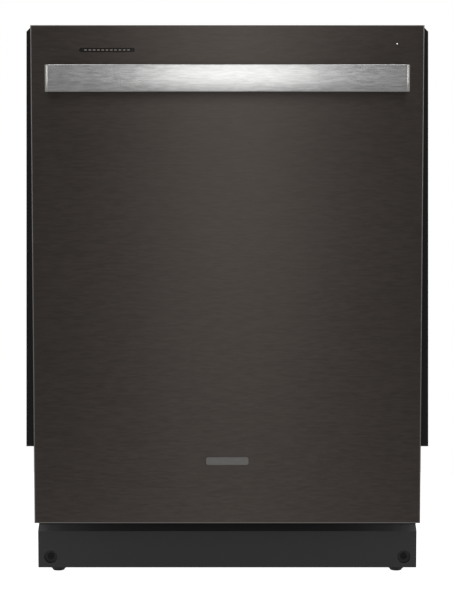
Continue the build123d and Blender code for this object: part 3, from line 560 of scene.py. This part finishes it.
beads = new_mesh()
bead_proud = 0.0018
bead_half = 0.190
bead_rows = [back_low.z + (back_high.z - back_low.z) * part for part in (0.14, 0.32, 0.50, 0.68, 0.86)]
bead_root, bead_top = back_high.y - 0.0008, back_high.y + bead_proud
bead_wide = 0.009
for z in bead_rows:
    add_box(beads, (-bead_half, bead_root, z - bead_wide), (bead_half, bead_top, z + bead_wide), 0.0024, 4)
for side in (-1, 1):
    x = side * (bead_half + 0.038)
    add_box(beads, (x - bead_wide, bead_root, bead_rows[0]), (x + bead_wide, bead_top, bead_rows[-1]),
            0.0024, 4)
finish_piece(beads, "tub_back_beads", "cabinet", tub_steel)

bindings = new_mesh()
hem = 0.0014
hem_width = 0.014
for y0, y1 in ((blanket_low.y, blanket_low.y + hem_width), (blanket_high.y - hem_width, blanket_high.y)):
    for side in (-1, 1):
        x = side * blanket_high.x
        add_box(bindings, (x, y0, blanket_low.z), (x + side * hem, y1, blanket_high.z), 0.0006, 2)
    add_box(bindings, (blanket_low.x, y0, blanket_high.z), (blanket_high.x, y1, blanket_high.z + hem),
            0.0006, 2)
finish_piece(bindings, "blanket_bindings", "cabinet", rubber)

foil = steel("foil_tape", (0.55, 0.55, 0.56), 240, 0.34, 0.08, wear=0.1)
tape = new_mesh()
tape_thick = 0.0003
tape_half = 0.024
tape_foot = blanket_high.z - 0.30
tape_top = blanket_high.z + tape_thick
middle_y = (blanket_low.y + blanket_high.y) / 2
tape_rows = (middle_y - 0.13, middle_y + 0.13)
for side in (-1, 1):
    for y in tape_rows:
        add_box(tape, (side * blanket_high.x, y - tape_half, tape_foot),
                (side * (blanket_high.x + tape_thick), y + tape_half, tape_top), 0.0001, 1)
for y in tape_rows:
    add_box(tape, (blanket_low.x - tape_thick, y - tape_half, blanket_high.z),
            (blanket_high.x + tape_thick, y + tape_half, tape_top), 0.0001, 1)
finish_piece(tape, "foil_tape_bands", "cabinet", foil)

label = new_mesh()
label_z = bead_rows[2] + (bead_rows[3] - bead_rows[2]) / 2
label_half = 0.028
add_box(label, (0.055, back_high.y, label_z - label_half),
        (0.165, back_high.y + 0.0002, label_z + label_half), 0.00008, 1)
paper = moulded("label_paper", (0.62, 0.62, 0.60), 0.55, grain=600, bump=0.02, blotch=0.05)
finish_piece(label, "blank_label", "cabinet", paper)


# ---- Wire racks -----------------------------------------------------------------------------
# Welded round steel wire dipped in grey nylon. A heavier rim wire runs round the top, and the
# floor wires turn up at both sides to make the walls.
nylon = moulded("grey_nylon", (0.36, 0.37, 0.385), 0.38, grain=1500, bump=0.05)


def add_wire(build, points, radius, sides=6):
    """A round wire through a list of points, with rounded bends and closed ends."""
    points = [Vector(point) for point in points]
    for start, end in zip(points, points[1:]):
        add_rod(build, start, end, radius, sides)
    for point in points[1:-1]:
        bmesh.ops.create_icosphere(build, subdivisions=1, radius=radius * 1.03,
                                   matrix=Matrix.Translation(point))


def span(low, high, count):
    """Evenly spaced places from one value to another, both ends included."""
    return [low + (high - low) * step / (count - 1) for step in range(count)]


def add_basket(build, low, high, across, deep, levels, heavy=0.0024, light=0.0017, dip=0.0):
    """Rims, bent floor wires and upright wires of one rack, inside its box."""
    x0, y0, z0 = low.x + heavy, low.y + heavy, low.z + light
    x1, y1, z1 = high.x - heavy, high.y - heavy, high.z - heavy
    for height in span(z0, z1, levels):
        front_z = height - dip * (height - z0) / (z1 - z0)
        thick = heavy if height in (z0, z1) else light
        loop = [(x0, y0, front_z), (x1, y0, front_z), (x1, y1, height), (x0, y1, height), (x0, y0, front_z)]
        add_wire(build, loop, thick, 8)
    for x in span(x0, x1, across)[1:-1]:
        add_wire(build, [(x, y0, z1 - dip), (x, y0, z0), (x, y1, z0), (x, y1, z1)], light)
    for y in span(y0, y1, deep)[1:-1]:
        side_top = z1 - dip * (1 - (y - y0) / (y1 - y0))
        bend_z = z0 + light
        add_wire(build, [(x0, y, side_top), (x0, y, bend_z), (x1, y, bend_z), (x1, y, side_top)], light)


def add_tines(build, x, ys, z, height):
    """A row of upright tines with rounded tips, welded to one wire on the rack's floor."""
    add_wire(build, [(x, ys[0] - 0.006, z), (x, ys[-1] + 0.006, z)], 0.0018)
    for y in ys:
        add_rod(build, (x, y, z), (x, y, z + height), 0.0017, 8)
        bmesh.ops.create_icosphere(build, subdivisions=1, radius=0.0023,
                                   matrix=Matrix.Translation((x, y, z + height)))


def even_box(name):
    """The corners of a node's box, made even about the middle of the machine."""
    low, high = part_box(name)
    return Vector((-high.x, low.y, low.z)), Vector((high.x, high.y, high.z))


def add_runners(build, low, high, z):
    """A flat runner down each side of a rack, from its wires out to the rails."""
    for side in (-1, 1):
        add_box(build, (side * inside, low.y + 0.010, z - 0.005), (side * high.x, high.y - 0.010, z + 0.005),
                0.0012, 2, index=1)


lower = new_mesh()
rack_low, rack_high = even_box("lower_rack")
add_basket(lower, rack_low, rack_high, 15, 14, 4, dip=0.028)
tine_z = rack_low.z + 0.006
tine_ys = span(rack_low.y + 0.085, rack_high.y - 0.06, 12)
for x in (0.022, 0.112):
    add_tines(lower, x, tine_ys, tine_z, 0.084)
finish_piece(lower, "lower_wire_rack", "lower_rack", nylon, ["lower_rack"])

runner_out = 0.008
upper = new_mesh()
rack_low, rack_high = even_box("upper_rack")
inside = rack_high.x - runner_out
add_basket(upper, Vector((-inside, rack_low.y, rack_low.z)), Vector((inside, rack_high.y, rack_high.z)),
           15, 14, 4, dip=0.012)
for x in (-0.085, 0.085):
    add_tines(upper, x, span(rack_low.y + 0.05, rack_high.y - 0.05, 12), rack_low.z + 0.006, 0.055)
add_runners(upper, rack_low, rack_high, rack_low.z + 0.070)
finish_piece(upper, "upper_wire_rack", "upper_rack", nylon, ["upper_rack"], second=zinc)

third = new_mesh()
rack_low, rack_high = even_box("third_rack")
add_basket(third, Vector((-inside, rack_low.y, rack_low.z)), Vector((inside, rack_high.y, rack_high.z)),
           25, 18, 3, heavy=0.0022, light=0.0014)
add_runners(third, rack_low, rack_high, rack_low.z + 0.020)
finish_piece(third, "third_wire_rack", "third_rack", nylon, ["third_rack"], second=zinc)
finish_node("rack_rails", zinc)


# ---- Rack wheels and carriers ---------------------------------------------------------------
# Grey moulded wheels with a rounded tread and five spokes turn on stub axles of clips that snap
# on the side wires of the lower rack.
grey = moulded("grey_moulding", (0.30, 0.31, 0.325), 0.42, bump=0.08)
finish_node("wheel_carriers", grey)
for name, body in (("front_rack_wheels", "front_wheels"), ("rear_rack_wheels", "rear_wheels")):
    low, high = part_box(name)
    radius = (high.z - low.z) / 2
    width = 0.012
    y, z = (low.y + high.y) / 2, (low.z + high.z) / 2
    wheels = new_mesh()
    for x in (low.x + width / 2, high.x - width / 2):
        half = width / 2
        tread = [(radius * 0.78, -half), (radius - 0.0015, -half), (radius - 0.0003, -half + 0.0015),
                 (radius, 0), (radius - 0.0003, half - 0.0015), (radius - 0.0015, half),
                 (radius * 0.78, half), (radius * 0.78, -half)]
        add_turned(wheels, tread, (x, y, z), axis=(1, 0, 0), steps=40)
        hub = [(0.0042, -half), (0.0075, -half), (0.0075, half), (0.0042, half), (0.0042, -half)]
        add_turned(wheels, hub, (x, y, z), axis=(1, 0, 0), steps=28)
        for spoke in range(5):
            angle = math.tau * spoke / 5
            out = Vector((0, math.cos(angle), math.sin(angle)))
            centre = Vector((x, y, z))
            add_rod(wheels, centre + out * 0.0068, centre + out * radius * 0.80, 0.0026, 8)
    finish_piece(wheels, name + "_spoked", body, grey, [name])


# ---- Spray arms -----------------------------------------------------------------------------
# Two welded grey mouldings make each hollow arm: a long lens-shaped blade with a raised spine,
# a round hub, and small nozzles along its top, offset so that the jets turn the arm.
# A dark disc at each nozzle's mouth is painted shade standing in for the shaded bore.
nozzle_painted_shade = moulded("nozzle_bore_painted_shade", (0.03, 0.03, 0.03), 0.6)
spine_height = 0.0012
for name, jets in (("lower_spray_arm", 5), ("upper_spray_arm", 5), ("top_spray_arm", 3)):
    low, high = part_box(name)
    reach = (high.x - low.x) / 2
    y = (low.y + high.y) / 2
    blade_low, blade_high = low.z + 0.004, high.z - 0.003
    middle_z = (blade_low + blade_high) / 2
    half_width = (high.y - low.y) / 2
    arm = new_mesh()
    made = bmesh.ops.create_uvsphere(arm, u_segments=48, v_segments=14, radius=1)["verts"]
    bmesh.ops.scale(arm, vec=(reach, half_width, (blade_high - blade_low) / 2), verts=made)
    for vert in made:
        across = vert.co.y / half_width
        along_blade = abs(vert.co.x) / reach
        spine = spine_height * math.exp(-(across / 0.28) ** 2) * (1 - along_blade)
        vert.co.z += spine * math.copysign(1, vert.co.z)
        vert.co.z = max(blade_low - middle_z, min(blade_high - middle_z, vert.co.z))
    bmesh.ops.translate(arm, vec=(0, y, middle_z), verts=made)
    hub = [(0.0092, low.z), (0.0145, low.z), (0.016, low.z + 0.002), (0.016, high.z - 0.002),
           (0.0145, high.z), (0.0092, high.z), (0.0092, low.z)]
    add_turned(arm, hub, (0, y, 0), steps=36)
    for side in (-1, 1):
        for jet in range(jets):
            x = side * (0.035 + (reach - 0.060) * jet / (jets - 1))
            offset = side * (0.004 if jet % 2 else -0.005)
            top = blade_high - spine_height * (1 - abs(x) / reach)
            add_rod(arm, (x, y + offset, middle_z), (x, y + offset, top), 0.0042, 14, 0.0036)
            add_rod(arm, (x, y + offset, top), (x, y + offset, top + 0.0003), 0.0018, 10, index=1)
    finish_piece(arm, name + "_moulded", name, grey, [name], second=nozzle_painted_shade)
for name in ("upper_arm_feed", "feed_tube", "sump"):
    finish_node(name, grey)


# ---- Filter, heater and float ---------------------------------------------------------------
# A fine cylinder of photo-etched mesh with a moulded twist grip; a tubular heater with a dull
# sheath on two brackets; and a ribbed float dome that rises with the water.
def mesh_screen(name, colour, pitch):
    """Fine metal screen, with rows of round holes shown as dark spots of painted shade."""
    material = steel(name, colour, 300, 0.4, 0.05)
    tree = material.node_tree
    shader = tree.nodes["Principled BSDF"]
    place = tree.nodes.new("ShaderNodeTexCoord")
    cells = tree.nodes.new("ShaderNodeTexVoronoi")
    cells.inputs["Scale"].default_value = 1 / pitch
    cells.inputs["Randomness"].default_value = 0.0
    tree.links.new(place.outputs["Object"], cells.inputs["Vector"])
    ramp = tree.nodes.new("ShaderNodeValToRGB")
    ramp.color_ramp.elements[0].position = 0.28
    ramp.color_ramp.elements[0].color = (0.02, 0.02, 0.02, 1)
    ramp.color_ramp.elements[1].position = 0.36
    ramp.color_ramp.elements[1].color = (*colour, 1)
    tree.links.new(cells.outputs["Distance"], ramp.inputs["Fac"])
    tree.links.new(ramp.outputs["Color"], shader.inputs["Base Color"])
    return material


finish_node("filter_cup", mesh_screen("filter_screen", (0.42, 0.42, 0.43), 0.0016))
finish_node("filter_plate", mesh_screen("filter_plate_holes", (0.60, 0.60, 0.61), 0.0032))
heater_low, heater_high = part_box("heating_element")
sheath = steel("heater_sheath", (0.16, 0.15, 0.145), 300, 0.5, 0.08, wear=0.25)
rod_radius = 0.0035
heater_z = heater_high.z - rod_radius
heater = new_mesh()
corner = 0.040
x1, y0, y1 = heater_high.x - rod_radius, heater_low.y + rod_radius, heater_high.y - 0.0045
leg_x, leg_y = 0.060, y1 - 0.001
path = [(leg_x, leg_y, heater_low.z), (leg_x, leg_y, heater_z - 0.006), (leg_x + 0.004, y1, heater_z)]
for cx, cy, first in ((x1 - corner, y1 - corner, 90), (x1 - corner, y0 + corner, 0)):
    for step in range(7):
        angle = math.radians(first - 15 * step)
        path.append((cx + corner * math.cos(angle), cy + corner * math.sin(angle), heater_z))
path += [(-x, y, z) for x, y, z in reversed(path)]
add_wire(heater, path, rod_radius * 0.97, 12)
for x in (-leg_x, leg_x):
    add_rod(heater, (x, leg_y, heater_low.z), (x, leg_y, heater_low.z + 0.024), 0.0044, 6)
finish_piece(heater, "tubular_heater", "cabinet", sheath, ["heating_element"])
float_low, float_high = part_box("float_cap")
dome = new_mesh()
cx, cy = (float_low.x + float_high.x) / 2, (float_low.y + float_high.y) / 2
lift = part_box("tub_floor")[0].z + 0.0035
stem_radius = 0.0045
outline = [(0.0, float_low.z), (stem_radius, float_low.z), (stem_radius, float_high.z - 0.005),
           (0.019, float_high.z - 0.006), (0.0195, lift), (0.0218, lift), (0.0220, float_high.z - 0.007),
           (0.0205, float_high.z - 0.0025), (0.0170, float_high.z), (0, float_high.z)]
add_turned(dome, outline, (cx, cy, 0), steps=40)
for rib in range(12):
    angle = math.tau * rib / 12
    out = Vector((math.cos(angle), math.sin(angle), 0))
    start = Vector((cx, cy, float_high.z - 0.0006)) + out * 0.006
    add_rod(dome, start, start + out * 0.009, 0.0006, 6)
finish_piece(dome, "float_dome", "float_cap", grey, ["float_cap"])


# ---- Hinges and door springs ----------------------------------------------------------------
# Pressed zinc-plated arms pivot on pins of the base brackets. A close-wound tension spring
# runs from each arm's rear horn to a pin at the back of its bracket and balances the door. Its
# coil stays where it is.
for name in ("hinge_brackets", "hinge_arms"):
    finish_node(name, zinc)
spring_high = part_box("door_springs")[1]
anchor_pin = Vector((0, 0.100, 0.034))
horn_pin = Vector((0, -0.200, 0.129))
turns = 46
per_turn = 9
coil_radius = 0.0031
wire_radius = 0.0009
sideways = Vector((1, 0, 0))
for side, word in ((-1, "left"), (1, "right")):
    coil = new_mesh()
    middle_x = side * (spring_high.x - 0.0040)
    start = Vector((middle_x, horn_pin.y, horn_pin.z))
    end = Vector((middle_x, anchor_pin.y, anchor_pin.z))
    line = (end - start).normalized()
    rise = Vector((0, -line.z, line.y))
    first, last = start + line * 0.056, end - line * 0.018
    total = turns * per_turn
    helix = []
    for step in range(total + 1):
        angle = math.tau * step / per_turn
        centre = first.lerp(last, step / total)
        helix.append(centre + coil_radius * (sideways * math.cos(angle) + rise * math.sin(angle)))
    hook_a = [start - line * 0.003 + rise * 0.0015, start - line * 0.004 - rise * 0.002, start - rise * 0.004]
    hook_a += [start + line * step / 1000 - rise * 0.001 for step in range(4, 54, 4)]
    hook_b = [end - line * 0.010 + rise * 0.001, end + rise * 0.004, end + line * 0.004 + rise * 0.001,
              end + line * 0.003 - rise * 0.003]
    route = hook_a + helix + hook_b
    ring = bmesh.ops.create_circle(coil, segments=6, radius=wire_radius)["verts"]
    tangent = (route[1] - route[0]).to_track_quat("Z", "Y").to_matrix().to_4x4()
    bmesh.ops.transform(coil, matrix=Matrix.Translation(route[0]) @ tangent, verts=ring)
    edges = list(coil.edges)
    coil.faces.new(ring)
    for before, here, after in zip(route, route[1:], route[2:] + [route[-1] * 2 - route[-2]]):
        grown = bmesh.ops.extrude_edge_only(coil, edges=edges)["geom"]
        verts = [item for item in grown if isinstance(item, bmesh.types.BMVert)]
        edges = [item for item in grown if isinstance(item, bmesh.types.BMEdge)
                 and all(vert in verts for vert in item.verts)]
        bend = (here - before).rotation_difference(after - here)
        swing = Matrix.Translation(here) @ bend.to_matrix().to_4x4() @ Matrix.Translation(-here)
        bmesh.ops.translate(coil, vec=here - before, verts=verts)
        bmesh.ops.transform(coil, matrix=swing, verts=verts)
    bmesh.ops.contextual_create(coil, geom=edges)
    bmesh.ops.recalc_face_normals(coil, faces=coil.faces)
    spring = make_object(coil, word + "_tension_spring", zinc)
    for polygon in spring.data.polygons:
        polygon.use_smooth = True
    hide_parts("door_springs")
    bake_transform(spring)


# ---- Cutlery basket -------------------------------------------------------------------------
# One grey moulding with three cells. Its walls are open lattices of thin vertical and level
# bars between a solid base band and a solid rim.
basket_low, basket_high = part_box("cutlery_basket")
cutlery = new_mesh()
wall = 0.0026


def add_lattice(build, a, b, z0, z1, uprights, levels):
    """An open wall of thin bars from point a to point b, between two heights."""
    a, b = Vector((*a, 0)), Vector((*b, 0))
    side = (b - a).normalized()
    out = Vector((side.y, -side.x, 0)) * wall / 2
    bands = [(z0, z0 + 0.016), (z1 - 0.010, z1)]
    bands += [(z - 0.0012, z + 0.0012) for z in span(z0 + 0.016, z1 - 0.010, levels + 2)[1:-1]]
    for low_z, high_z in bands:
        add_box(build, (*(a - out).xy, low_z), (*(b + out).xy, high_z), 0.0004, 1)
    half = 0.0013
    for step in range(uprights):
        at = a.lerp(b, step / (uprights - 1))
        add_box(build, (at.x - half, at.y - half, z0 + 0.010), (at.x + half, at.y + half, z1 - 0.004),
                0.0003, 1)


bx0, bx1 = basket_low.x + wall / 2, basket_high.x - wall / 2
by0, by1 = basket_low.y + wall / 2, basket_high.y - wall / 2
base_z, rim_z = basket_low.z, basket_high.z
for x in (bx0, bx1):
    add_lattice(cutlery, (x, by0), (x, by1), base_z, rim_z, 34, 5)
for y in span(by0, by1, 4):
    add_lattice(cutlery, (bx0, y), (bx1, y), base_z, rim_z, 13, 5)
for x in span(bx0, bx1, 12):
    add_box(cutlery, (x - 0.001, by0, base_z), (x + 0.001, by1, base_z + 0.003), 0.0003, 1)
for y in span(by0, by1, 32):
    add_box(cutlery, (bx0, y - 0.001, base_z + 0.0002), (bx1, y + 0.001, base_z + 0.0028), 0.0003, 1)
finish_piece(cutlery, "cutlery_lattice_basket", "lower_rack", grey, ["cutlery_basket"])


# ---- Inner door pressing --------------------------------------------------------------------
# The stainless inner door is pressed with a broad raised field and stiffening ribs. The
# dispenser sits in its middle.
liner_low, liner_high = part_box("door_liner")
dispenser_low, dispenser_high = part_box("dispenser_body")
press = new_mesh()
proud = 0.0014
inset = 0.034
field_low, field_high = liner_low.x + inset, liner_high.x - inset
for z0, z1 in ((liner_low.z + 0.045, dispenser_low.z - 0.050),
               (dispenser_high.z + 0.035, liner_high.z - 0.052)):
    add_box(press, (field_low, liner_high.y - 0.0008, z0), (field_high, liner_high.y + proud, z1), 0.0021, 4)
for z in span(liner_low.z + 0.10, dispenser_low.z - 0.105, 5):
    add_box(press, (liner_low.x + 0.070, liner_high.y + proud - 0.0008, z - 0.0045),
            (liner_high.x - 0.070, liner_high.y + 2 * proud, z + 0.0045), 0.0021, 4)
finish_piece(press, "liner_pressing", "door", liner_steel)


# ---- Detergent and rinse aid dispenser ------------------------------------------------------
# A grey two-part moulding: a square cup under a sliding lid, a dosing wheel, and a quarter-turn
# cap for the rinse aid with a raised grip.
dispenser_grey = moulded("dispenser_grey", (0.20, 0.205, 0.215), 0.36, bump=0.06)
finish_node("dispenser_body", dispenser_grey)
lid_grey = moulded("lid_grey", (0.34, 0.35, 0.36), 0.33, bump=0.05)
lid_low, lid_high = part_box("dispenser_lid")
lid = new_mesh()
add_box(lid, lid_low, lid_high, 0.0012, 4)
for step in range(5):
    x = lid_high.x - 0.008 - step * 0.0042
    add_box(lid, (x - 0.0009, lid_high.y - 0.0004, lid_low.z + 0.014),
            (x + 0.0009, lid_high.y + 0.0009, lid_high.z - 0.014), 0.0005, 2)
finish_piece(lid, "sliding_lid", "dispenser_lid", lid_grey, ["dispenser_lid"])
cap_low, cap_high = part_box("rinse_aid_cap")
centre = (cap_low + cap_high) / 2
radius = (cap_high.x - cap_low.x) / 2
cap = new_mesh()
outline = [(0, cap_low.y), (0.0118, cap_low.y), (0.0118, cap_high.y - 0.0050), (radius, cap_high.y - 0.0048),
           (radius, cap_high.y - 0.0028), (radius - 0.0008, cap_high.y - 0.0020), (0, cap_high.y - 0.0018)]
add_turned(cap, outline, (centre.x, 0, centre.z), axis=(0, 1, 0), steps=48)
add_box(cap, (cap_low.x + 0.004, cap_high.y - 0.0024, centre.z - 0.0026),
        (cap_high.x - 0.004, cap_high.y, centre.z + 0.0026), 0.0010, 3)
for notch in range(24):
    angle = math.tau * notch / 24
    out = Vector((math.cos(angle), 0, math.sin(angle))) * (radius - 0.0006)
    start = Vector((centre.x, cap_high.y - 0.0046, centre.z)) + out
    add_rod(cap, start, start + Vector((0, 0.0018, 0)), 0.0006, 6)
finish_piece(cap, "quarter_turn_cap", "rinse_aid_cap", dispenser_grey, ["rinse_aid_cap"])


# ---- Buttons, board, latch and valve --------------------------------------------------------
# Five soft-edged keys in the top of the door, each with a small status dot; a green circuit
# board below them; the latch and its hook; and the inlet valve in the base.
key_black = moulded("key_black", (0.028, 0.028, 0.029), 0.38, bump=0.05)
for number in range(1, 6):
    name = f"button_{number}"
    low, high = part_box(name)
    key = new_mesh()
    add_box(key, low, high, 0.0009, 3)
    finish_piece(key, f"key_{number}", name, key_black, [name])
    dot = new_mesh()
    middle = (low + high) / 2
    add_turned(dot, [(0, high.z - 0.0004), (0.0008, high.z - 0.0004), (0.0008, high.z - 0.00002),
                     (0.0006, high.z), (0, high.z)], (middle.x, low.y + 0.002, 0), steps=20)
    finish_piece(dot, f"key_dot_{number}", name, led_glow)
board_green = moulded("board_green", (0.015, 0.11, 0.05), 0.3, grain=800, bump=0.05, blotch=0.4)
finish_node("control_board", board_green)
dark_grey = moulded("dark_grey_moulding", (0.06, 0.06, 0.063), 0.45)
for name in ("door_latch", "latch_hook", "inlet_valve"):
    finish_node(name, dark_grey)
valve_low, valve_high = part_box("inlet_valve")
coil_x = (valve_low.x + valve_high.x) / 2
coil_z = valve_high.z - 0.016
solenoid = new_mesh()
add_rod(solenoid, (coil_x, valve_high.y - 0.001, coil_z), (coil_x, valve_high.y + 0.020, coil_z), 0.0125, 24)
for side in (-1, 1):
    x = coil_x + side * 0.006
    add_box(solenoid, (x - 0.0030, valve_high.y + 0.018, valve_high.z - 0.0165),
            (x + 0.0030, valve_high.y + 0.030, valve_high.z - 0.0157), 0.0002, 1, index=1)
finish_piece(solenoid, "valve_solenoid", "cabinet", key_black, second=zinc)


# ---- Wash pump ------------------------------------------------------------------------------
# The motor is a drawn steel can with pressed cooling rings, closed by an end cap with three
# screws. It drives the pump in the black moulded casing at its end.
pump_low, pump_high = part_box("wash_pump")
pump_y = (pump_low.y + pump_high.y) / 2
pump_z = pump_low.z + (pump_high.y - pump_low.y) / 2
can = new_mesh()
root, crest, half = 0.0352, 0.0374, 0.0013
ring = [(root, -half), (crest, -half), (crest, half), (root, half), (root, -half)]
for x in span(pump_low.x + 0.010, pump_low.x + 0.100, 13):
    add_turned(can, ring, (x, pump_y, pump_z), axis=(1, 0, 0), steps=48)
for number in range(3):
    angle = math.tau * number / 3
    y, z = pump_y + 0.026 * math.cos(angle), pump_z + 0.026 * math.sin(angle)
    add_rod(can, (pump_low.x - 0.0022, y, z), (pump_low.x + 0.001, y, z), 0.0032, 12)
finish_piece(can, "pump_cooling_rings", "cabinet", zinc)
